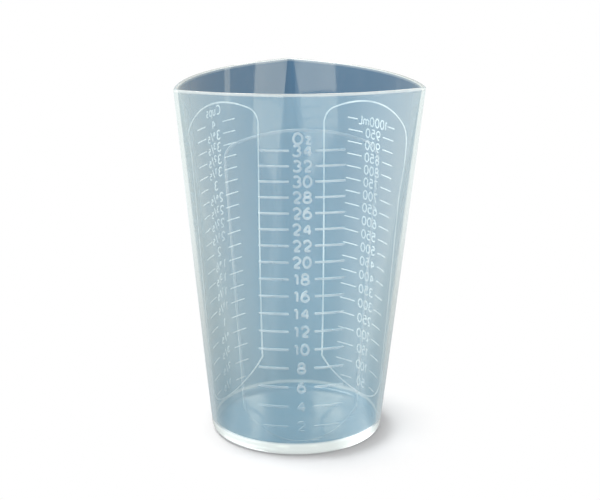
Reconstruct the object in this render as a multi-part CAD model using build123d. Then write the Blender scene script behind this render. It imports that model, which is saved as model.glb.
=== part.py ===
from build123d import *
import math
import os

# A graduated mixing cup moulded in one shot of clear polypropylene. Sizes are in millimetres.
# The origin is the centre of the foot, +Z is up and the ounce side faces -Y.

# The wall: a round foot that opens into three shallow sides and three tight pouring corners
height = 177.3
foot_radius = 42.55
side_reach = 49.05
corner_reach = 66.4
corner_radius = 4.0
wall = 1.9
rim_chamfer = 0.4
overrun = 0.5

# The floor and the foot ring under it
floor_level = 4.3
floor_fillet = 3.0
foot_round = 3.0
foot_recess = 1.9
foot_ring_width = 5.6
recess_chamfer = 0.6
gate_radius = 4.0
gate_relief = 0.6

# The raised, arch-topped border round each scale, in the plane that the scale faces
rim_to_crown = 15.8
crown_radius = 71.0
shoulder_half_width = 35.6
shoulder_fillet = 10.0
heel_half_width = 27.0
heel_level = 22.0
toe_level = 7.0
border_line = 0.95
relief = 0.4

# The raised graduations: bars on both sides of a numeral
crown_to_top_mark = 10.7
bar_thickness = 0.65
bar_border_gap = 1.2
ounce_bar_start = 6.0
ounce_bar_end = 20.0
cup_bar_start = 8.2
cup_bar_end = 18.5
millilitre_bar_start = 8.5
millilitre_bar_end = 19.0
full_bar_start = 12.4
full_bar_end = 19.8

# Shares of the volume at the top mark, which is one litre
ounce_share = 0.0295735
step_share = 0.05
ounce_rows = range(2, 35, 2)
step_rows = range(1, 21)

crown_level = height - rim_to_crown
top_mark_level = crown_level - crown_to_top_mark

# Each arc of a section keeps its turn from foot to rim, so every side and corner is a piece of a cone
corner_centre = corner_reach - corner_radius
side_to_corner = side_reach - corner_radius
side_setback = (corner_centre**2 - side_to_corner**2) / (2 * side_to_corner - corner_centre)
side_radius = side_setback + side_reach
half_side_turn = math.degrees(
    math.atan2(corner_centre * math.sin(math.pi / 3), side_setback + corner_centre / 2)
)


def section(level, offset=0.0):
    """The wall's outline in plan at a level, moved outward by offset."""
    share = level / height
    arcs = []
    for place in range(6):
        heading = 60 * place - 90
        if place % 2 == 0:
            reach, radius, half_turn = -side_setback, side_radius, half_side_turn
        else:
            reach, radius, half_turn = corner_centre, corner_radius, 60 - half_side_turn
        centre = Vector(share * reach, 0).rotate(Axis.Z, heading)
        size = (1 - share) * foot_radius + share * radius + offset
        arcs.append(CenterArc(centre, size, heading - half_turn, 2 * half_turn))
    return Pos(0, 0, level) * Face(Wire(arcs))


def tapered(*stations):
    """The solid inside the wall's outline, ruled through stations of level and offset."""
    return Solid.make_loft([section(*station).outer_wire() for station in stations], ruled=True)


def lowest_edges(solid):
    return solid.edges().group_by(Axis.Z)[0]


def cup_body():
    rim_edge = height - rim_chamfer
    outside = tapered((0, 0), (rim_edge, 0), (height, -rim_chamfer))
    mouth = (height + overrun, rim_chamfer + overrun - wall)
    cavity = tapered((floor_level, -wall), (rim_edge, -wall), mouth)
    outside = fillet(lowest_edges(outside), foot_round)
    cavity = fillet(lowest_edges(cavity), floor_fillet)
    upright = (Align.CENTER, Align.CENTER, Align.MIN)
    recess = Cylinder(foot_radius - foot_ring_width, foot_recess, align=upright)
    recess = chamfer(recess.edges().group_by(Axis.Z)[-1], recess_chamfer)
    gate = Pos(0, 0, foot_recess - gate_relief) * Cylinder(gate_radius, gate_relief, align=upright)
    return outside - cavity - (recess - gate)


def scale_plane(number):
    """The upright plane on the axis that a side faces: x runs across the scale and y up it."""
    heading = math.radians(120 * number - 90)
    outward = (math.cos(heading), math.sin(heading), 0)
    return Plane(origin=(0, 0, 0), x_dir=(-math.sin(heading), math.cos(heading), 0), z_dir=outward)


def border_outline():
    crown_drop = crown_radius - math.sqrt(crown_radius**2 - shoulder_half_width**2)
    shoulder_level = crown_level - crown_drop
    left_heel, right_heel = (-heel_half_width, heel_level), (heel_half_width, heel_level)
    left_shoulder = (-shoulder_half_width, shoulder_level)
    right_shoulder = (shoulder_half_width, shoulder_level)
    outline = make_face(
        [
            ThreePointArc(left_heel, (0, toe_level), right_heel),
            Line(right_heel, right_shoulder),
            ThreePointArc(right_shoulder, (0, crown_level), left_shoulder),
            Line(left_shoulder, left_heel),
        ]
    )
    return fillet(outline.vertices().group_by(Axis.Y)[-1], shoulder_fillet)


# The area inside the wall grows as a quadratic in the level, so three sections give the volume
area_low, area_middle, area_high = (section(share * height, -wall).area for share in (0, 0.5, 1))
area_growth = 4 * area_middle - 3 * area_low - area_high
area_spread = 2 * (area_low + area_high) - 4 * area_middle


def volume_to(level):
    """The volume inside the wall up to a level, counted from the foot's plane."""
    share = level / height
    return height * (area_low * share + area_growth * share**2 / 2 + area_spread * share**3 / 3)


def capacity(level):
    return volume_to(level) - volume_to(floor_level)


def fill_level(share):
    """The level at which the cup holds a share of what it holds at the top mark."""
    low, high = floor_level, height
    for _ in range(50):
        middle = (low + high) / 2
        if capacity(middle) < share * capacity(top_mark_level):
            low = middle
        else:
            high = middle
    return middle


def bars(levels, start, end):
    """Two bars at each level, one on each side of the space for a numeral."""
    row = [Pos(side * (start + end) / 2, level) for level in levels for side in (-1, 1)]
    return Sketch() + [place * Rectangle(end - start, bar_thickness) for place in row]


def raised(plane, sketch):
    """The sketch as a thin relief on the outside of the wall."""
    return skin & extrude(plane * sketch, corner_reach)


skin = tapered((0, relief), (height, relief)) - tapered((0, 0), (height, 0))
outline = border_outline()
border = outline - offset(outline, -border_line)
bar_field = offset(outline, -border_line - bar_border_gap)
ounce_levels = [fill_level(row * ounce_share) for row in ounce_rows]
step_levels = [fill_level(row * step_share) for row in step_rows]
millilitre_bars = bars(step_levels[:-1], millilitre_bar_start, millilitre_bar_end)
scales = {
    "ounce": bars(ounce_levels, ounce_bar_start, ounce_bar_end),
    "millilitre": millilitre_bars + bars(step_levels[-1:], full_bar_start, full_bar_end),
    "cups": bars(step_levels, cup_bar_start, cup_bar_end),
}

nodes = {"cup_body": cup_body()}
for number, (name, marks) in enumerate(scales.items()):
    plane = scale_plane(number)
    nodes[name + "_panel_border"] = raised(plane, border)
    nodes[name + "_graduations"] = raised(plane, marks & bar_field)

os.makedirs("parts", exist_ok=True)
for name, shape in nodes.items():
    export_step(shape, "parts/" + name + ".step")

print("holds", round(capacity(top_mark_level) / 1000), "mL at the top mark")
print("holds", round(capacity(height) / 1000), "mL to the brim")
print("ounce levels", [round(level, 1) for level in ounce_levels])
print("step levels", [round(level, 1) for level in step_levels])
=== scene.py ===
import math

import bpy
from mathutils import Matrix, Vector


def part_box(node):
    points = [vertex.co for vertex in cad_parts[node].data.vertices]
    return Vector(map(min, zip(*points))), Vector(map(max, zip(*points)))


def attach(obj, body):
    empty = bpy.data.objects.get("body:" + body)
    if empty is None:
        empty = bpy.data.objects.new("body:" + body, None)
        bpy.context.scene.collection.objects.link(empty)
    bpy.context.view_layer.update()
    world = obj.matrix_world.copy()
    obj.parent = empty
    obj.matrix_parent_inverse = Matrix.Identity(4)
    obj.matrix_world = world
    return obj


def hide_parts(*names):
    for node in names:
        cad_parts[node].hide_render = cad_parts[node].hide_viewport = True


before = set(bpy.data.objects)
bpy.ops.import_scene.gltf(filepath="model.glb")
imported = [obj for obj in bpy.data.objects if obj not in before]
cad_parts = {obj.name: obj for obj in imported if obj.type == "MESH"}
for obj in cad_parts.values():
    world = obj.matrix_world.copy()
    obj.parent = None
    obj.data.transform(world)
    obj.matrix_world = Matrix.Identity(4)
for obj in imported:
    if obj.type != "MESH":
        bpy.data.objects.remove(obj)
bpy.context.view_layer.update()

# The cup body is one moulding of clear polypropylene, about two millimetres thick all over.
# Its foot is round, its mouth has three shallow sides and three tight pouring corners, and each
# of its six arcs keeps its turn from foot to rim.
body_low, body_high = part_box("cup_body")
height = body_high.z
foot_radius = 0.04255
side_reach = -body_low.y
corner_reach = body_high.y
corner_radius = 0.004
wall = 0.0019
rim_round = 0.00045
floor_level = 0.0043
floor_round = 0.003
foot_round = 0.003
foot_recess = 0.0019
foot_ring_width = 0.0056
recess_chamfer = 0.0006
gate_radius = 0.004
gate_relief = 0.0006
arc_count = 6
arc_turn = math.radians(60)
first_heading = math.radians(-90)
corner_centre = corner_reach - corner_radius
side_to_corner = side_reach - corner_radius
side_setback = (corner_centre**2 - side_to_corner**2) / (2 * side_to_corner - corner_centre)
side_radius = side_setback + side_reach
half_side_turn = math.atan2(corner_centre * math.sin(arc_turn), side_setback + corner_centre / 2)
steps_per_arc = 40
weld_distance = 0.00001


class Value:
    """A number carried by a socket of a node tree, with the usual arithmetic."""

    def __init__(self, tree, socket):
        self.tree = tree
        self.socket = socket

    def math(self, operation, *others):
        node = self.tree.nodes.new("ShaderNodeMath")
        node.operation = operation
        for place, item in enumerate((self, *others)):
            feed(self.tree, node.inputs[place], item)
        return Value(self.tree, node.outputs[0])

    def __add__(self, other):
        return self.math("ADD", other)

    def __sub__(self, other):
        return self.math("SUBTRACT", other)

    def __rsub__(self, other):
        return (self * -1).math("ADD", other)

    def __mul__(self, other):
        return self.math("MULTIPLY", other)

    def __truediv__(self, other):
        return self.math("DIVIDE", other)

    __radd__ = __add__
    __rmul__ = __mul__


def feed(tree, socket, item):
    """Links a socket to another one, or sets it to a plain value."""
    source = item.socket if isinstance(item, Value) else item
    if isinstance(source, bpy.types.NodeSocket):
        tree.links.new(source, socket)
    else:
        socket.default_value = source


def add_node(tree, kind, settings=None, **inputs):
    """A new node. An input is named by its label, with spaces written as underscores."""
    node = tree.nodes.new(kind)
    for name, setting in (settings or {}).items():
        setattr(node, name, setting)
    for label, item in inputs.items():
        live = [socket for socket in node.inputs if socket.enabled]
        socket = next(s for s in live if s.name.replace(" ", "_") == label)
        feed(tree, socket, item)
    return node


def new_tree(kind, name, sockets_in, sockets_out):
    """A node tree with named sockets, and its inputs by name."""
    tree = bpy.data.node_groups.new(name, kind)
    for label, content in sockets_in.items():
        tree.interface.new_socket(label, in_out="INPUT", socket_type="NodeSocket" + content)
    for label, content in sockets_out.items():
        tree.interface.new_socket(label, in_out="OUTPUT", socket_type="NodeSocket" + content)
    start = tree.nodes.new("NodeGroupInput")
    sockets = {label: Value(tree, start.outputs[label]) for label in sockets_in}
    return tree, sockets


def end_tree(tree, **results):
    """The tree's last node, fed with its results."""
    end = tree.nodes.new("NodeGroupOutput")
    for label, item in results.items():
        feed(tree, end.inputs[label], item)


def made_by(tree, name, source, values):
    """The plain mesh that a geometry node tree makes out of a source object."""
    modifier = source.modifiers.new(tree.name, "NODES")
    modifier.node_group = tree
    for item in tree.interface.items_tree:
        if item.in_out == "INPUT" and item.name in values:
            modifier[item.identifier] = values[item.name]
    evaluated = source.evaluated_get(bpy.context.evaluated_depsgraph_get())
    mesh = bpy.data.meshes.new_from_object(evaluated)
    mesh.name = name
    piece = bpy.data.objects.new(name, mesh)
    bpy.context.collection.objects.link(piece)
    source.modifiers.remove(modifier)
    bpy.data.objects.remove(source)
    return piece


def switch(test, if_false, if_true):
    return if_false + test * (if_true - if_false)


def combine(tree, x, y, z):
    return add_node(tree, "ShaderNodeCombineXYZ", X=x, Y=y, Z=z).outputs[0]


def split(tree, vector):
    """The three numbers of a vector."""
    parts = add_node(tree, "ShaderNodeSeparateXYZ", Vector=vector)
    return [Value(tree, socket) for socket in parts.outputs]


def position(tree):
    return tree.nodes.new("GeometryNodeInputPosition").outputs[0]


def named(tree, name):
    """A number stored on the points under a name."""
    node = add_node(tree, "GeometryNodeInputNamedAttribute", {"data_type": "FLOAT"}, Name=name)
    return node.outputs[0]


def sampled(tree, source, kind, value, index):
    """A value of the point that has an index in the source."""
    node = add_node(
        tree,
        "GeometryNodeSampleIndex",
        {"data_type": kind, "domain": "POINT"},
        Geometry=source,
        Value=value,
        Index=index,
    )
    return node.outputs[0]


def stored(tree, geometry, name, value, kind="FLOAT", domain="POINT"):
    """The geometry with a value stored under a name."""
    node = add_node(
        tree,
        "GeometryNodeStoreNamedAttribute",
        {"data_type": kind, "domain": domain},
        Geometry=geometry,
        Name=name,
        Value=value,
    )
    return node.outputs[0]


def moved(tree, geometry, place):
    node = add_node(tree, "GeometryNodeSetPosition", Geometry=geometry, Position=place)
    return node.outputs[0]


def realized(tree, geometry, material):
    """The last two steps of every tree: plain geometry, with a material."""
    whole = add_node(tree, "GeometryNodeRealizeInstances", Geometry=geometry)
    node = add_node(tree, "GeometryNodeSetMaterial", Geometry=whole.outputs[0], Material=material)
    return node.outputs[0]


cup_sizes = {
    "Height": height,
    "Foot Radius": foot_radius,
    "Side Setback": side_setback,
    "Side Radius": side_radius,
    "Corner Centre": corner_centre,
    "Corner Radius": corner_radius,
    "Half Side Turn": half_side_turn,
}
size_sockets = {label: "Float" for label in cup_sizes}


def moulded_wall(finish):
    """Turns a profile, a line of points, round the cup's axis by the rule of its six arcs."""
    inputs = {"Profile": "Geometry", **size_sockets, "Steps per Arc": "Int", "Weld": "Float"}
    tree, given = new_tree("GeometryNodeTree", "moulded wall", inputs, {"Wall": "Geometry"})
    count = add_node(
        tree, "GeometryNodeAttributeDomainSize", {"component": "MESH"}, Geometry=given["Profile"]
    )
    rows = Value(tree, count.outputs["Point Count"])
    columns = given["Steps per Arc"] * arc_count + 1
    grid = add_node(tree, "GeometryNodeMeshGrid", Vertices_X=rows, Vertices_Y=columns)
    index = Value(tree, tree.nodes.new("GeometryNodeInputIndex").outputs[0])
    row = (index / columns).math("FLOOR")
    column = index - row * columns
    station = sampled(tree, given["Profile"], "FLOAT_VECTOR", position(tree), row)
    offset, plan_level, level = split(tree, station)
    place = (column / given["Steps per Arc"]).math("FLOOR").math("MINIMUM", arc_count - 1)
    turn = (column / given["Steps per Arc"] - place) * 2 - 1
    is_corner = place.math("MODULO", 2)
    heading = place * arc_turn + first_heading
    reach = switch(is_corner, given["Side Setback"] * -1, given["Corner Centre"])
    radius = switch(is_corner, given["Side Radius"], given["Corner Radius"])
    half_turn = switch(is_corner, given["Half Side Turn"], arc_turn - given["Half Side Turn"])
    share = plan_level / given["Height"]
    arc_size = (1 - share) * given["Foot Radius"] + share * radius + offset
    angle = heading + turn * half_turn
    x = share * reach * heading.math("COSINE") + arc_size * angle.math("COSINE")
    y = share * reach * heading.math("SINE") + arc_size * angle.math("SINE")
    placed = moved(tree, grid.outputs["Mesh"], combine(tree, x, y, level))
    side = sampled(tree, given["Profile"], "FLOAT", named(tree, "cavity"), row)
    sided = stored(tree, placed, "cavity", side)
    cornered = stored(tree, sided, "aside", is_corner.math("MAXIMUM", turn.math("ABSOLUTE")))
    welded = add_node(
        tree, "GeometryNodeMergeByDistance", Geometry=cornered, Distance=given["Weld"]
    )
    smooth = add_node(tree, "GeometryNodeSetShadeSmooth", Geometry=welded.outputs[0])
    end_tree(tree, Wall=realized(tree, smooth.outputs[0], finish))
    return tree


# Stations of the profile are (offset from the outer face, level of the plan, level), from the
# middle of the floor over the rim to the middle of the underside
floor_steps = 10
round_steps = 8
inner_steps = 24
rim_steps = 4
outer_steps = 28
hold_step = 0.0002


def between(first, last, steps):
    """Points from the first to the last, evenly spaced, without the last."""
    return [tuple(a + (b - a) * i / steps for a, b in zip(first, last)) for i in range(steps)]


def quarter(centre, radius, start, steps, turn):
    """A quarter of a round in offset and level, from an angle in degrees, without its end."""
    points = []
    for step in range(steps):
        angle = math.radians(start + turn * step / steps)
        offset = centre[0] + radius * math.cos(angle)
        level = centre[1] + radius * math.sin(angle)
        points.append((offset, level, level))
    return points


def held_run(offset, start, end, steps):
    """A straight run of the wall, with short steps at both ends that keep its shading straight."""
    hold = math.copysign(hold_step, end - start)
    points = [(offset, start, start)]
    points += between((offset, start + hold, start + hold), (offset, end - hold, end - hold), steps)
    return points + [(offset, end - hold, end - hold)]


inner = -wall
floor_edge = inner - floor_round
rim_level = height - rim_round
inside = between((-foot_radius, 0, floor_level), (floor_edge, floor_level, floor_level), floor_steps)
inside += quarter((floor_edge, floor_level + floor_round), floor_round, -90, round_steps, 90)
inside += held_run(inner, floor_level + floor_round, rim_level, inner_steps)
rim = quarter((inner + rim_round, rim_level), rim_round, 180, rim_steps, -90)
rim += between((inner + rim_round, height, height), (-rim_round, height, height), rim_steps)
rim += quarter((-rim_round, rim_level), rim_round, 90, rim_steps, -90)
outside = held_run(0, rim_level, foot_round, outer_steps)
outside += quarter((-foot_round, foot_round), foot_round, 0, round_steps, -90)

# The corners of the underside, each with the steps from it to the next one
ring_edge = -foot_ring_width
recess_edge = ring_edge - recess_chamfer
gate_edge = gate_radius - foot_radius
gate_level = foot_recess - gate_relief
underside_corners = [
    ((-foot_round, 0, 0), 3),
    ((ring_edge, 0, 0), 2),
    ((ring_edge, 0, foot_recess - recess_chamfer), 2),
    ((recess_edge, 0, foot_recess), 8),
    ((gate_edge, 0, foot_recess), 2),
    ((gate_edge, 0, gate_level), 3),
    ((-foot_radius, 0, gate_level), 0),
]
underside = []
for (corner, steps), (following, _) in zip(underside_corners, underside_corners[1:]):
    underside += between(corner, following, steps)
underside.append(underside_corners[-1][0])
profile = inside + rim + outside + underside

# The milky outer skin, painted paler towards the corners and upward as painted light on the sides,
# and the blue that the inside shows, darkened there as painted shade and painted lighter towards the
# floor as painted light
milk_haze = (0.47, 0.80, 0.96, 1)
side_light_haze = (0.80, 1.0, 1.0, 1)
edge_tone = (0.60, 0.86, 0.98, 1)
milk_share = 0.235
most_milk = 0.95
wavering = 0.08
side_light_power = 2
side_light_level = 0.4
corner_haze = 0.05
corner_power = 22
edge_haze = 0.80
slant_power = 8
shaded_inner_blue = (0.028, 0.120, 0.225, 1)
lightened_floor_blue = (0.095, 0.235, 0.35, 1)
floor_light_fade_level = 0.75
inner_share = 0.93

# Painted light: pale lines painted at the rim and in the foot ring where light runs through the
# plastic, and a painted highlight where the floor bends up into the wall
painted_light_tone = (0.90, 0.98, 0.96, 1)
rim_light_band = 0.0012
rim_light_softness = 0.4
rim_light_share = 0.52
inner_rim_light_loss = 0.75
foot_band = 0.0078
foot_light_full = 0.72
foot_light_share = 0.82
bend_highlight_rise = (0.5, 0.85)
bend_highlight_fall = (1.0, 1.4)
bend_highlight_share = 0.5

# The clear plastic under the skin, its gloss, and what it lets through to the floor
clear_tint = (0.985, 0.99, 0.985, 1)
absorbed = (0.78, 0.89, 0.94, 1)
absorbing = 60.0
plastic_ior = 1.49
skin_ior = 1.6
gloss = 0.03
cloud_gloss = 0.04
floor_haze = 0.05
floor_haze_fade = (0.0003, 0.0012)
passing_light = (0.972, 0.974, 0.976, 1)
foot_shade = (0.24, 0.25, 0.26, 1)
foot_shade_reach = 2.5
passing_reflection = (0.90, 0.90, 0.87, 1)
cloud_stretch = (1, 1, 0.35)
cloud_range = (0.3, 0.7)
body_clouds = 28
body_ripples = 55
body_ripple_height = 0.00012


def new_material(name):
    material = bpy.data.materials.new(name)
    material.use_nodes = True
    material.node_tree.nodes.clear()
    return material, material.node_tree


def mixed(tree, share, first, second):
    """A Mix Shader of two shader sockets."""
    node = add_node(tree, "ShaderNodeMixShader")
    for socket, item in zip(node.inputs, (share, first, second)):
        feed(tree, socket, item)
    return node.outputs[0]


def mixed_colour(tree, share, first, second):
    node = add_node(
        tree, "ShaderNodeMix", {"data_type": "RGBA"}, Factor=share, A=first, B=second
    )
    return node.outputs["Result"]


def attribute(tree, name):
    node = add_node(tree, "ShaderNodeAttribute", {"attribute_name": name})
    return Value(tree, node.outputs["Fac"])


def object_place(tree):
    return tree.nodes.new("ShaderNodeTexCoord").outputs["Object"]


def front_side(tree):
    """One on the outside of a face and zero on its back."""
    return 1 - Value(tree, tree.nodes.new("ShaderNodeNewGeometry").outputs["Backfacing"])


def is_ray(tree, *kinds):
    """One for a ray of one of these kinds and zero for others."""
    path = tree.nodes.new("ShaderNodeLightPath")
    first, *others = [Value(tree, path.outputs["Is " + kind + " Ray"]) for kind in kinds]
    for other in others:
        first = first.math("MAXIMUM", other)
    return first


def ramped(tree, value, low, high):
    """Zero below low, one above high and smooth between them."""
    node = add_node(tree, "ShaderNodeMapRange", {"interpolation_type": "SMOOTHSTEP"}, Value=value)
    node.inputs["From Min"].default_value = low
    node.inputs["From Max"].default_value = high
    return Value(tree, node.outputs[0])


def banded(tree, value, rise, fall):
    """One from the rise to the fall, zero beyond them."""
    return ramped(tree, value, *rise) * (1 - ramped(tree, value, *fall))


def moulded_unevenness():
    """A group for all the cup's finishes: slow clouds in the milkiness and a fine moulded ripple."""
    inputs = {label: "Float" for label in ("Cloud Scale", "Ripple Scale", "Ripple Height")}
    outputs = {"Cloud": "Float", "Normal": "Vector"}
    tree, given = new_tree("ShaderNodeTree", "moulded unevenness", inputs, outputs)
    drawn = add_node(tree, "ShaderNodeMapping", Vector=object_place(tree), Scale=cloud_stretch)
    noises = []
    for scale, detail, roughness in (("Cloud Scale", 3, 0.55), ("Ripple Scale", 1, 0.4)):
        noise = add_node(
            tree,
            "ShaderNodeTexNoise",
            Vector=drawn.outputs[0],
            Scale=given[scale],
            Detail=detail,
            Roughness=roughness,
        )
        noises.append(noise.outputs[0])
    cloud, ripple = noises
    bump = add_node(
        tree, "ShaderNodeBump", Strength=1.0, Distance=given["Ripple Height"], Height=ripple
    )
    end_tree(tree, Cloud=ramped(tree, cloud, *cloud_range), Normal=bump.outputs[0])
    return tree


unevenness = moulded_unevenness()


def uneven(tree, cloud_scale, ripple_scale, ripple_height):
    """The clouds and the rippled normal of a finish, each at its own scale."""
    node = add_node(
        tree,
        "ShaderNodeGroup",
        {"node_tree": unevenness},
        Cloud_Scale=cloud_scale,
        Ripple_Scale=ripple_scale,
        Ripple_Height=ripple_height,
    )
    return Value(tree, node.outputs["Cloud"]), node.outputs["Normal"]


def clear_polypropylene():
    """Clear plastic under a milky skin, blue inside the cup and pale where it is seen edge on, with
    painted light on the sides, rim, foot ring and floor bend, and painted shade inside.
    """
    material, tree = new_material("clear polypropylene")
    cloud, normal = uneven(tree, body_clouds, body_ripples, body_ripple_height)
    cavity = attribute(tree, "cavity")
    aside = attribute(tree, "aside")
    level = split(tree, object_place(tree))[2]
    grazing = Value(tree, add_node(tree, "ShaderNodeLayerWeight", Blend=0.5).outputs["Facing"])
    slant = grazing.math("POWER", slant_power)

    # Painted light: the rim and the foot ring are painted pale where light runs through the plastic,
    # and the floor's bend gets a painted highlight.
    rim_start = height - rim_light_band * (1 + rim_light_softness)
    rim_full = height - rim_light_band * (1 - rim_light_softness)
    rim_painted_light = ramped(tree, level, rim_start, rim_full) * (1 - cavity * inner_rim_light_loss)
    foot_painted_light = (1 - ramped(tree, level, foot_band * foot_light_full, foot_band)) * (1 - cavity)
    above_floor = (level - floor_level) / floor_round
    bend_painted_highlight = cavity * banded(tree, above_floor, bend_highlight_rise, bend_highlight_fall) * bend_highlight_share
    pale = rim_painted_light.math("MAXIMUM", foot_painted_light).math("MAXIMUM", bend_painted_highlight)

    corner = aside.math("POWER", corner_power) * level / height
    cloudy = milk_share * (1 - wavering / 2 + cloud * wavering)
    milk = cloudy + corner * corner_haze + slant * edge_haze
    plain = cavity * inner_share + (1 - cavity) * milk
    # Where the painted light is, the pale skin covers the clear plastic.
    edge = (rim_painted_light * rim_light_share).math("MAXIMUM", foot_painted_light * foot_light_share)
    share = front_side(tree) * edge.math("MAXIMUM", plain.math("MINIMUM", most_milk))

    # Painted light on the sides: the skin's haze is painted paler towards the corners and upward.
    side_light_rise = ramped(tree, level, foot_band, height * side_light_level)
    painted_side_light = aside.math("POWER", side_light_power) * side_light_rise
    haze = mixed_colour(tree, painted_side_light, milk_haze, side_light_haze)
    outer_tone = mixed_colour(tree, slant, haze, edge_tone)
    # Painted shade inside the cup: the inner blue is darker, and it is painted lighter towards the
    # floor.
    above = ramped(tree, level, floor_level, height * floor_light_fade_level)
    shaded_inner_tone = mixed_colour(tree, above, lightened_floor_blue, shaded_inner_blue)
    deep = mixed_colour(tree, cavity, outer_tone, shaded_inner_tone)
    haze_start, haze_end = (floor_level + rise for rise in floor_haze_fade)
    on_floor = cavity * (1 - ramped(tree, level, haze_start, haze_end))
    hazy = add_node(
        tree,
        "ShaderNodeBsdfPrincipled",
        Base_Color=mixed_colour(tree, pale, deep, painted_light_tone),
        Roughness=cloud * cloud_gloss + on_floor * floor_haze + gloss,
        IOR=skin_ior,
        Normal=normal,
    )
    clear = add_node(
        tree,
        "ShaderNodeBsdfPrincipled",
        Base_Color=clear_tint,
        Roughness=0.0,
        IOR=plastic_ior,
        Transmission_Weight=1.0,
    )
    body = mixed(tree, share, clear.outputs[0], hazy.outputs[0])

    at_foot = 1 - ramped(tree, level, foot_band, foot_band * foot_shade_reach)
    shade = mixed_colour(tree, at_foot, passing_light, foot_shade)
    for_light = add_node(tree, "ShaderNodeBsdfTransparent", Color=shade)
    for_reflection = add_node(tree, "ShaderNodeBsdfTransparent", Color=passing_reflection)
    seen = mixed(tree, is_ray(tree, "Reflection"), body, for_reflection.outputs[0])
    lit = mixed(tree, is_ray(tree, "Shadow", "Diffuse"), seen, for_light.outputs[0])
    depth = add_node(tree, "ShaderNodeVolumeAbsorption", Color=absorbed, Density=absorbing)
    add_node(tree, "ShaderNodeOutputMaterial", Surface=lit, Volume=depth.outputs[0])
    return material


profile_mesh = bpy.data.meshes.new("profile")
profile_mesh.from_pydata(profile, [(i, i + 1) for i in range(len(profile) - 1)], [])
cavity_side = profile_mesh.attributes.new("cavity", "FLOAT", "POINT")
cavity_side.data.foreach_set("value", [float(i <= len(inside)) for i in range(len(profile))])
profile_line = bpy.data.objects.new("profile", profile_mesh)
bpy.context.collection.objects.link(profile_line)
cup = made_by(
    moulded_wall(clear_polypropylene()),
    "moulded_cup",
    profile_line,
    {**cup_sizes, "Steps per Arc": steps_per_arc, "Weld": weld_distance},
)
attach(cup, "root")
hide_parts("cup_body")

# The border round each scale is a raised line with an arched top and a rounded foot. It is cut
# into the mould with a round cutter, so the line is round on top. Raised marks show from the
# inside too, as they do through clear plastic, because their feet reach through the wall.
border_line = 0.00095
relief = 0.0004
mark_depth = wall + 0.00006
foot_spread = 1.6
foot_below = -0.05
rim_to_crown = 0.0158
crown_radius = 0.071
shoulder_half_width = 0.0356
shoulder_round = 0.010
heel_half_width = 0.027
heel_level = 0.022
toe_level = 0.007
crown_level = height - rim_to_crown
crown_drop = crown_radius - math.sqrt(crown_radius**2 - shoulder_half_width**2)
shoulder_level = crown_level - crown_drop
toe_rise = heel_level - toe_level
toe_radius = (heel_half_width**2 + toe_rise**2) / (2 * toe_rise)
crown_steps = 12
bend_steps = 8
side_steps = 40
toe_steps = 16
halvings = 50
arc_step = math.radians(24)
profile_points = 12
fillet_points = 2
sharp_bend = math.radians(50)
scale_headings = {"ounce": -90, "millilitre": 30, "cups": 150}


def lay_on_wall(tree, given, across, level, outward):
    """The place on the wall of a point that is given across a scale, up it and out of it."""
    share = level / given["Height"]
    straight = (1 - share) * given["Foot Radius"] + outward
    side_arc = straight + share * given["Side Radius"]
    corner_arc = straight + share * given["Corner Radius"]
    turned = share * given["Corner Centre"]
    beside = across.math("ABSOLUTE")
    past_side = beside.math("GREATER_THAN", side_arc * given["Half Side Turn"].math("SINE"))
    from_corner = beside - turned * math.sin(arc_turn)
    on_side = (side_arc * side_arc - across * across).math("MAXIMUM", 0).math("SQRT")
    on_corner = (corner_arc * corner_arc - from_corner * from_corner).math("MAXIMUM", 0).math("SQRT")
    side_depth = on_side - share * given["Side Setback"]
    corner_depth = on_corner + turned * math.cos(arc_turn)
    depth = switch(past_side, side_depth, corner_depth)
    ahead, aside = given["Heading"].math("COSINE"), given["Heading"].math("SINE")
    return combine(tree, depth * ahead - across * aside, depth * aside + across * ahead, level)


def raised_lines():
    """Sweeps a round-topped line along every path and lays it on the wall."""
    sizes = ("Line Width", "Relief", "Mark Depth", "Foot Spread", "Heading")
    inputs = {"Paths": "Geometry", **{label: "Float" for label in sizes}, **size_sockets}
    inputs.update({"Profile Points": "Int", "Finish": "Material"})
    tree, given = new_tree("GeometryNodeTree", "raised lines", inputs, {"Lines": "Geometry"})
    half_line = given["Line Width"] * 0.5
    curves = add_node(tree, "GeometryNodeMeshToCurve", Mesh=given["Paths"])
    upright = add_node(
        tree, "GeometryNodeSetCurveNormal", {"mode": "Z_UP"}, Curve=curves.outputs[0]
    )
    rounded = add_node(
        tree,
        "GeometryNodeFilletCurve",
        {"mode": "POLY"},
        Curve=upright.outputs[0],
        Count=fillet_points,
        Radius=half_line,
        Limit_Radius=True,
    )
    circle = add_node(
        tree, "GeometryNodeCurvePrimitiveCircle", Resolution=given["Profile Points"], Radius=1.0
    )
    ring_x, ring_y, _ = split(tree, position(tree))
    spread = switch(ring_y.math("LESS_THAN", foot_below), 1.0, given["Foot Spread"])
    cutter = moved(tree, circle.outputs[0], combine(tree, ring_x * spread, ring_y, 0.0))
    swept = add_node(
        tree,
        "GeometryNodeCurveToMesh",
        Curve=rounded.outputs[0],
        Profile_Curve=cutter,
        Scale=named(tree, "half_width"),
        Fill_Caps=True,
    )
    across, level, above = split(tree, position(tree))
    rise = above / half_line
    in_relief = rise.math("MAXIMUM", 0) * given["Relief"]
    is_top = rise.math("GREATER_THAN", foot_below)
    outward = switch(is_top, given["Mark Depth"] * -1, in_relief)
    footed = stored(tree, swept.outputs[0], "cavity", rise.math("LESS_THAN", foot_below))
    placed = moved(tree, footed, lay_on_wall(tree, given, across, level, outward))
    bend = Value(tree, tree.nodes.new("GeometryNodeInputMeshEdgeAngle").outputs["Unsigned Angle"])
    is_sharp = bend.math("GREATER_THAN", sharp_bend)
    smooth = stored(tree, placed, "sharp_edge", is_sharp, "BOOLEAN", "EDGE")
    end_tree(tree, Lines=realized(tree, smooth, given["Finish"]))
    return tree


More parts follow.
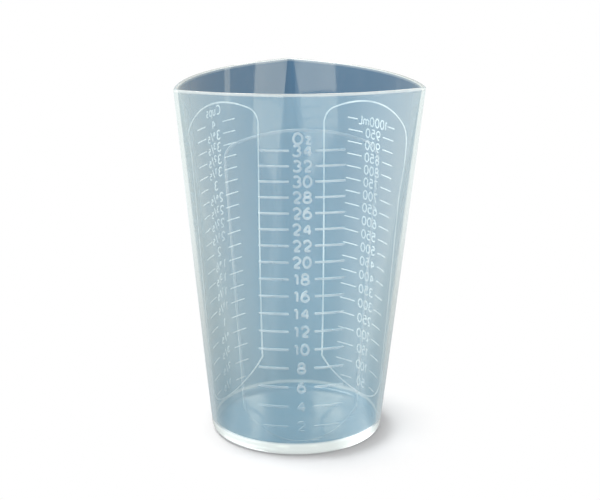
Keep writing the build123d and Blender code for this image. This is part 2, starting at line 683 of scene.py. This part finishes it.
raised_lines_tree = raised_lines()

# The frosting of the marks, its patches, the levels between which it fades on the outside towards
# the foot, and how much of it shows on the outside and from the inside
frost_dark = (0.66, 0.79, 0.85, 1)
frost_pale = (0.80, 0.90, 0.93, 1)
frost_gloss = 0.35
frost_cloud_gloss = 0.15
mark_clouds = 70
mark_ripples = 900
mark_ripple_height = 0.00004
least_patch = 0.75
patch_gain = 0.45
fading_levels = (0.012, 0.050)
faintest_share = 0.14
border_show = (0.20, 0.85)
mark_show = (0.35, 0.95)


def raised_marks(name, outer_show, inner_show):
    """The finish of raised lines: frosted, patchy, and fainter towards the foot on the outside."""
    material, tree = new_material(name)
    cavity = attribute(tree, "cavity")
    cloud, normal = uneven(tree, mark_clouds, mark_ripples, mark_ripple_height)
    level = split(tree, object_place(tree))[2]
    unfaded = ramped(tree, level, *fading_levels) * (1 - faintest_share) + faintest_share
    kept = unfaded.math("MAXIMUM", cavity)
    patches = cloud * patch_gain + least_patch
    shown = (cavity * inner_show + (1 - cavity) * outer_show) * patches
    surface = add_node(
        tree,
        "ShaderNodeBsdfPrincipled",
        Base_Color=mixed_colour(tree, cloud, frost_dark, frost_pale),
        Roughness=frost_gloss + cloud * frost_cloud_gloss,
        IOR=plastic_ior,
        Normal=normal,
        Alpha=front_side(tree) * (shown * kept).math("MINIMUM", 1.0),
    )
    add_node(tree, "ShaderNodeOutputMaterial", Surface=surface.outputs[0])
    return material


def laid_lines(name, scale, paths, line_width, finish):
    """One piece of raised lines. A path is a list of (point, half width) and is closed or open."""
    vertices, edges, halves = [], [], []
    for path, closed in paths:
        first = len(vertices)
        vertices += [(x, y, 0) for (x, y), half in path]
        halves += [half for point, half in path]
        edges += [(first + i, first + i + 1) for i in range(len(path) - 1)]
        if closed:
            edges.append((len(vertices) - 1, first))
    mesh = bpy.data.meshes.new("paths")
    mesh.from_pydata(vertices, edges, [])
    mesh.attributes.new("half_width", "FLOAT", "POINT").data.foreach_set("value", halves)
    flat = bpy.data.objects.new("paths", mesh)
    bpy.context.collection.objects.link(flat)
    values = {
        **cup_sizes,
        "Line Width": line_width,
        "Relief": relief,
        "Mark Depth": mark_depth,
        "Foot Spread": foot_spread,
        "Heading": math.radians(scale_headings[scale]),
        "Profile Points": profile_points,
        "Finish": finish,
    }
    piece = made_by(raised_lines_tree, name, flat, values)
    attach(piece, "root")
    return piece


def arc(centre, reach, start, end, steps=None):
    """Points on part of an ellipse, from one angle to another in degrees, ends included."""
    start, end = math.radians(start), math.radians(end)
    steps = steps or math.ceil(abs(end - start) / arc_step)
    angles = [start + (end - start) * i / steps for i in range(steps + 1)]
    return [(centre[0] + reach[0] * math.cos(a), centre[1] + reach[1] * math.sin(a)) for a in angles]


def round_arc(centre, radius, start, end, steps):
    """Points on part of a circle, from one angle to another in radians, ends included."""
    return arc(centre, (radius, radius), math.degrees(start), math.degrees(end), steps)


def shoulder_heading(crown_centre, lean):
    """The angle at which the crown runs over into the round of the shoulder."""
    reach = crown_radius - shoulder_round
    low, high = 0.0, math.pi / 2
    for _ in range(halvings):
        middle = (low + high) / 2
        x, y = reach * math.cos(middle), crown_centre + reach * math.sin(middle)
        to_side = (shoulder_half_width - x) * math.cos(lean) + (y - shoulder_level) * math.sin(lean)
        if to_side < shoulder_round:
            low = middle
        else:
            high = middle
    return high


def border_path():
    """The middle of the border's line, once round."""
    inset = border_line / 2
    upright = math.pi / 2
    lean = math.atan2(shoulder_half_width - heel_half_width, shoulder_level - heel_level)
    crown_centre = crown_level - crown_radius
    turn = shoulder_heading(crown_centre, lean)
    reach = crown_radius - shoulder_round
    bend_centre = (reach * math.cos(turn), crown_centre + reach * math.sin(turn))
    toe_centre = toe_level + toe_radius
    heel = (heel_half_width - inset, heel_level)
    heel_turn = math.atan2(heel_level - toe_centre, heel[0])
    top = round_arc((0, crown_centre), crown_radius - inset, turn, upright, crown_steps)
    bend = round_arc(bend_centre, shoulder_round - inset, -lean, turn, bend_steps)[:-1]
    side = between(heel, bend[0], side_steps)
    toe = round_arc((0, toe_centre), toe_radius - inset, -upright, heel_turn, toe_steps)[:-1]
    right = toe + side + bend + top
    left = [(-x, y) for x, y in reversed(right[1:-1])]
    return right + left


border_finish = raised_marks("raised border", *border_show)
border_loop = [(point, border_line / 2) for point in border_path()]
for scale in scale_headings:
    border = laid_lines(scale + "_border", scale, [(border_loop, True)], border_line, border_finish)
    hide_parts(scale + "_panel_border")

# The graduations are raised bars in pairs, with room for a numeral between the two. They stand at
# the levels of the volumes that they mark, and are cut into the mould like the borders.
bar_thickness = 0.00065
bar_border_gap = 0.0012
bar_steps = 6
bar_ends = {"ounce": (0.006, 0.020), "millilitre": (0.0085, 0.019), "cups": (0.0082, 0.0185)}
full_bar_ends = (0.0124, 0.0198)
end_angles = (8, 35, 62)
longest_end = 0.95


def round_ends(points, half_width):
    """The path with a half width at each point, which runs out in a round at both ends."""
    path = [(point, half_width) for point in points]
    for turned in range(2):
        path.reverse()
        (x0, y0), (x1, y1) = path[0][0], path[1][0]
        length = math.dist((x0, y0), (x1, y1))
        ends = []
        for angle in map(math.radians, end_angles):
            along = half_width * (1 - math.cos(angle)) / length
            if along < 1:
                point = (x0 + (x1 - x0) * along, y0 + (y1 - y0) * along)
                ends.append((point, half_width * math.sin(angle)))
        along = half_width / length
        if along < longest_end:
            point = (x0 + (x1 - x0) * along, y0 + (y1 - y0) * along)
            ends.append((point, half_width))
        path = ends + path[1:]
    return path


def mark_levels(node):
    """The levels of a scale's bars, from the bottom up, read from the part's points."""
    heights = sorted(vertex.co.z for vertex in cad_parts[node].data.vertices)
    groups = [[heights[0]]]
    for level in heights[1:]:
        if level - groups[-1][-1] > bar_thickness * 2:
            groups.append([])
        groups[-1].append(level)
    return [(group[0] + group[-1]) / 2 for group in groups]


def room_beside(level):
    """How far a bar may reach across at a level, inside the border."""
    if level >= heel_level:
        return shoulder_half_width
    field_radius = toe_radius - border_line - bar_border_gap
    below = toe_level + toe_radius - level
    return math.sqrt(max(field_radius**2 - below**2, 0))


mark_finish = raised_marks("raised marks", *mark_show)
levels = {scale: mark_levels(scale + "_graduations") for scale in scale_headings}
for scale in scale_headings:
    paths = []
    for level in levels[scale]:
        start, end = bar_ends[scale]
        if scale == "millilitre" and level == levels[scale][-1]:
            start, end = full_bar_ends
        end = min(end, room_beside(level))
        reaches = [start + (end - start) * i / bar_steps for i in range(bar_steps + 1)]
        for side in (-1, 1):
            points = [(side * reach, level) for reach in reaches]
            paths.append((round_ends(points, bar_thickness / 2), False))
    graduations = laid_lines(scale + "_bars", scale, paths, bar_thickness, mark_finish)
    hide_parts(scale + "_graduations")

# The numerals are single strokes of a round cutter in the mould, so they stand up as rounded lines
# of one width. A glyph is its width and its strokes, drawn in shares of the cap height.
numeral_line = 0.0008
ounce_cap = 0.0049
step_cap = 0.0044
ounce_label_rise = 0.0056
step_label_rise = 0.0065
glyph_width = 0.74
glyph_gap = 0.30

# A fraction of a cup, in shares of the whole number's cap height
figure_cap = 0.68
figure_middle = 0.35
figure_shift = 0.24
fraction_width = 1.7
fraction_line = 0.8
slash_place = 0.48
slash_cap = 0.9


def stroke(*points):
    """An open stroke through some points."""
    return points, False


def ring(centre, reach):
    """A closed stroke, once round an ellipse."""
    return arc(centre, reach, 90, 450)[:-1], True


three_top = arc((0.32, 0.75), (0.30, 0.25), 150, -90)
three_bowl = arc((0.32, 0.27), (0.35, 0.27), 65, -155)
s_top = arc((0.20, 0.49), (0.18, 0.17), 40, 270)
s_bowl = arc((0.20, 0.17), (0.20, 0.16), 60, -140)
five_bowl = arc((0.33, 0.33), (0.35, 0.33), 118, -150)
six_stem = arc((0.62, 0.34), (0.62, 0.66), 172, 95)
nine_stem = arc((0.08, 0.66), (0.62, 0.66), -8, -85)
glyphs = {
    "0": (0.70, [ring((0.35, 0.5), (0.35, 0.5))]),
    "1": (0.34, [stroke((0.0, 0.80), (0.24, 1.0), (0.24, 0.0))]),
    "2": (0.68, [stroke(*arc((0.34, 0.68), (0.33, 0.32), 165, -38), (0.0, 0.0), (0.68, 0.0))]),
    "3": (0.68, [stroke(*three_top, *three_bowl)]),
    "4": (0.74, [stroke((0.55, 0.0), (0.55, 1.0), (0.0, 0.30), (0.74, 0.30))]),
    "5": (0.68, [stroke((0.62, 1.0), (0.12, 1.0), (0.06, 0.54), *five_bowl)]),
    "6": (0.70, [ring((0.35, 0.32), (0.35, 0.32)), stroke(*six_stem)]),
    "7": (0.66, [stroke((0.0, 1.0), (0.66, 1.0), (0.22, 0.0))]),
    "8": (0.70, [ring((0.35, 0.76), (0.28, 0.24)), ring((0.35, 0.26), (0.35, 0.26))]),
    "9": (0.70, [ring((0.35, 0.68), (0.35, 0.32)), stroke(*nine_stem)]),
    "/": (0.50, [stroke((0.0, -0.1), (0.50, 1.1))]),
    "O": (0.84, [ring((0.42, 0.5), (0.42, 0.5))]),
    "z": (0.52, [stroke((0.0, 0.64), (0.52, 0.64), (0.0, 0.0), (0.52, 0.0))]),
    "m": (
        0.88,
        [
            stroke((0.0, 0.0), (0.0, 0.66)),
            stroke(*arc((0.22, 0.44), (0.22, 0.22), 180, 0), (0.44, 0.0)),
            stroke(*arc((0.66, 0.44), (0.22, 0.22), 180, 0), (0.88, 0.0)),
        ],
    ),
    "L": (0.52, [stroke((0.0, 1.0), (0.0, 0.0), (0.52, 0.0))]),
    "C": (0.76, [stroke(*arc((0.42, 0.5), (0.42, 0.5), 48, 312))]),
    "u": (0.46, [stroke((0.0, 0.66), *arc((0.23, 0.23), (0.23, 0.23), 180, 360), (0.46, 0.66))]),
    "p": (0.50, [stroke((0.0, 0.66), (0.0, -0.28)), ring((0.25, 0.33), (0.25, 0.33))]),
    "s": (0.40, [stroke(*s_top, *s_bowl)]),
}


def written(text, centre, cap, line=numeral_line):
    """The strokes of a text, centred on a point. Its cap height is between the line's middles."""
    total = sum(glyphs[letter][0] for letter in text) + glyph_gap * (len(text) - 1)
    x = centre[0] - total * cap / 2
    strokes = []
    for letter in text:
        width, lines = glyphs[letter]
        for points, closed in lines:
            placed = [(x + px * cap, centre[1] + (py - 0.5) * cap) for px, py in points]
            if closed:
                path = [(point, line / 2) for point in placed]
            else:
                path = round_ends(placed, line / 2)
            strokes.append((path, closed))
        x += (width + glyph_gap) * cap
    return strokes


def fifths(count, centre, cap):
    """The strokes of a number of fifths of a cup, as a whole number and a small fraction."""
    x, y = centre
    whole, part = divmod(count, 5)
    whole_width = glyph_width * cap if whole else 0
    part_width = fraction_width * cap if part else 0
    gap = glyph_gap * cap if whole and part else 0
    left = x - (whole_width + gap + part_width) / 2
    strokes = []
    if whole:
        strokes += written(str(whole), (left + whole_width / 2, y), cap)
    if part:
        start = left + whole_width + gap
        small = cap * figure_cap
        inset, shift = small * figure_middle, cap * figure_shift
        thin = numeral_line * fraction_line
        strokes += written(str(part), (start + inset, y + shift), small, thin)
        strokes += written("/", (start + part_width * slash_place, y), cap * slash_cap, thin)
        strokes += written("5", (start + part_width - inset, y - shift), small, thin)
    return strokes


numerals = {"ounce": [], "millilitre": [], "cups": []}
for row, level in enumerate(levels["ounce"]):
    numerals["ounce"] += written(str(2 * row + 2), (0, level), ounce_cap)
numerals["ounce"] += written("Oz", (0, levels["ounce"][-1] + ounce_label_rise), ounce_cap)
for row, level in enumerate(levels["millilitre"]):
    text = str(50 * (row + 1)) + ("mL" if row == len(levels["millilitre"]) - 1 else "")
    numerals["millilitre"] += written(text, (0, level), step_cap)
for row, level in enumerate(levels["cups"]):
    numerals["cups"] += fifths(row + 1, (0, level), step_cap)
numerals["cups"] += written("Cups", (0, levels["cups"][-1] + step_label_rise), step_cap)
for scale, strokes in numerals.items():
    laid_lines(scale + "_numerals", scale, strokes, numeral_line, mark_finish)

# The studio floor is white and runs out of sight. It keeps the cup's shadow close to the foot and is
# plain white further out. In the cup's gloss it is dimmer, with a pale board to the right and to
# the left in front of the cup.
pure_white = (1, 1, 1, 1)
floor_half = 12.0
floor_paint = (0.95, 0.95, 0.95, 1)
floor_roughness = 0.9
floor_ior = 1.2
near_share = 0.10
shadow_fade = (0.046, 0.080)
floor_beside = 0.54
floor_beyond = 0.92
brightening = (0.10, 0.48)
right_board = 1.15
right_board_rise = (0.38, 0.68)
left_board = 0.45
left_board_rise = (0.30, 0.62)
board_fall = (0.86, 0.95)


def white_floor():
    """The floor's finish. A sideways of one is a direction straight to the right of the cup."""
    material, tree = new_material("white floor")
    place = object_place(tree)
    x, y, _ = split(tree, place)
    length = add_node(tree, "ShaderNodeVectorMath", {"operation": "LENGTH"})
    feed(tree, length.inputs[0], place)
    away = Value(tree, length.outputs["Value"])
    sideways = x / away
    paint = add_node(
        tree,
        "ShaderNodeBsdfPrincipled",
        Base_Color=floor_paint,
        Roughness=floor_roughness,
        IOR=floor_ior,
    )
    glow = add_node(tree, "ShaderNodeEmission", Color=pure_white, Strength=1.0)
    background = ramped(tree, away, *shadow_fade) * (1 - near_share) + near_share
    is_seen = is_ray(tree, "Camera", "Transmission")
    shown = mixed(tree, is_seen * background, paint.outputs[0], glow.outputs[0])
    right = banded(tree, sideways, right_board_rise, board_fall) * right_board
    left = banded(tree, sideways * -1, left_board_rise, board_fall) * left_board
    boards = (right + left) * y.math("LESS_THAN", 0)
    beyond = ramped(tree, away, *brightening)
    dim = add_node(
        tree,
        "ShaderNodeEmission",
        Color=pure_white,
        Strength=beyond * (floor_beyond - floor_beside) + floor_beside + boards,
    )
    surface = mixed(tree, is_ray(tree, "Reflection"), shown, dim.outputs[0])
    add_node(tree, "ShaderNodeOutputMaterial", Surface=surface)
    return material


corners = [(x * floor_half, y * floor_half, 0) for x, y in ((-1, -1), (1, -1), (1, 1), (-1, 1))]
floor_mesh = bpy.data.meshes.new("studio_floor")
floor_mesh.from_pydata(corners, [], [(0, 1, 2, 3)])
floor_mesh.materials.append(white_floor())
studio_floor = bpy.data.objects.new("studio_floor", floor_mesh)
bpy.context.collection.objects.link(studio_floor)

# The room is white where it is seen, and lights the cup evenly. In the cup's gloss it is dim behind
# the camera and brighter behind the cup.
ambient = 0.66
dark_front = 0.20
bright_back = 0.58
front_to_back = (-0.75, 0.65)
world = bpy.data.worlds.new("studio room")
bpy.context.scene.world = world
world.use_nodes = True
room = world.node_tree
room.nodes.clear()
is_seen = is_ray(room, "Camera", "Transmission")
is_mirrored = is_ray(room, "Reflection")
direction = split(room, room.nodes.new("ShaderNodeTexCoord").outputs["Generated"])
mirrored = ramped(room, direction[1], *front_to_back) * (bright_back - dark_front) + dark_front
unseen = is_mirrored * mirrored + (1 - is_mirrored) * ambient
strength = is_seen + (1 - is_seen) * unseen
white = add_node(room, "ShaderNodeBackground", Color=pure_white, Strength=strength)
add_node(room, "ShaderNodeOutputWorld", Surface=white.outputs[0])

# The lamps: tall soft boxes and narrow strips that only the gloss shows, broad fills that only
# light the shade, and a soft sun from the upper left.
warm = (1, 0.94, 0.83)
sun_strength = 1.85
sun_spread = math.radians(34)
sun_tilt = (math.radians(-14), math.radians(-24), 0)


def soft_box(name, heading, width, tall, power, distance=1.2, middle=0.7, fills=False):
    """An upright lamp that faces the cup from a heading, in degrees, and either shines or fills."""
    lamp = bpy.data.lights.new(name, "AREA")
    lamp.shape = "RECTANGLE"
    lamp.size = width
    lamp.size_y = tall
    lamp.energy = power
    lamp.color = (1, 1, 1) if fills else warm
    holder = bpy.data.objects.new(name, lamp)
    bpy.context.collection.objects.link(holder)
    turn = math.radians(heading)
    holder.location = (distance * math.cos(turn), distance * math.sin(turn), middle)
    aim = Vector((0, 0, height / 2 if fills else middle)) - holder.location
    holder.rotation_mode = "QUATERNION"
    holder.rotation_quaternion = aim.to_track_quat("-Z", "Y")
    holder.visible_diffuse = fills
    holder.visible_glossy = not fills
    holder.visible_transmission = False
    holder.visible_camera = False


soft_box("left_soft_box", 195, 0.50, 1.4, 7)
soft_box("right_soft_box", 345, 0.50, 1.4, 7)
soft_box("right_strip", 18, 0.10, 1.4, 0.8)
soft_box("left_strip", 134, 0.10, 1.4, 0.1)
soft_box("left_fill", 180, 0.6, 1.0, 3, middle=0.5, fills=True)
soft_box("right_fill", 0, 0.6, 1.0, 2, middle=0.5, fills=True)
soft_box("front_fill", 262, 1.2, 0.8, 15, distance=1.5, middle=0.55, fills=True)
soft_box("left_gleam", 90, 0.03, 0.27, 0.045, middle=0.40)
soft_box("right_gleam", 84.4, 0.045, 0.27, 0.07, middle=0.40)
sun = bpy.data.lights.new("soft_sun", "SUN")
sun.energy = sun_strength
sun.angle = sun_spread
sun_holder = bpy.data.objects.new("soft_sun", sun)
bpy.context.collection.objects.link(sun_holder)
sun_holder.rotation_euler = sun_tilt

# The camera stands where the photograph was taken: in front of the ounce side, a little to its
# left, looking down at the cup.
camera_distance = 0.68639
camera_height = 0.28405
camera_bearing = math.radians(3.184)
camera_pitch = math.radians(15.664)
lens_length = 86.546
sensor_width = 36.0
picture_width = 600
axis_pixel = 296.4
camera_data = bpy.data.cameras.new("camera")
camera_data.lens = lens_length
camera_data.sensor_width = sensor_width
camera_data.shift_x = 0.5 - axis_pixel / picture_width
camera = bpy.data.objects.new("camera", camera_data)
bpy.context.collection.objects.link(camera)
camera.location = (
    -camera_distance * math.sin(camera_bearing),
    -camera_distance * math.cos(camera_bearing),
    camera_height,
)
camera.rotation_euler = (math.pi / 2 - camera_pitch, 0, -camera_bearing)
bpy.context.scene.camera = camera

scene = bpy.context.scene
scene.view_settings.view_transform = "Standard"
scene.cycles.transmission_bounces = 16
scene.cycles.max_bounces = 24
scene.cycles.transparent_max_bounces = 24
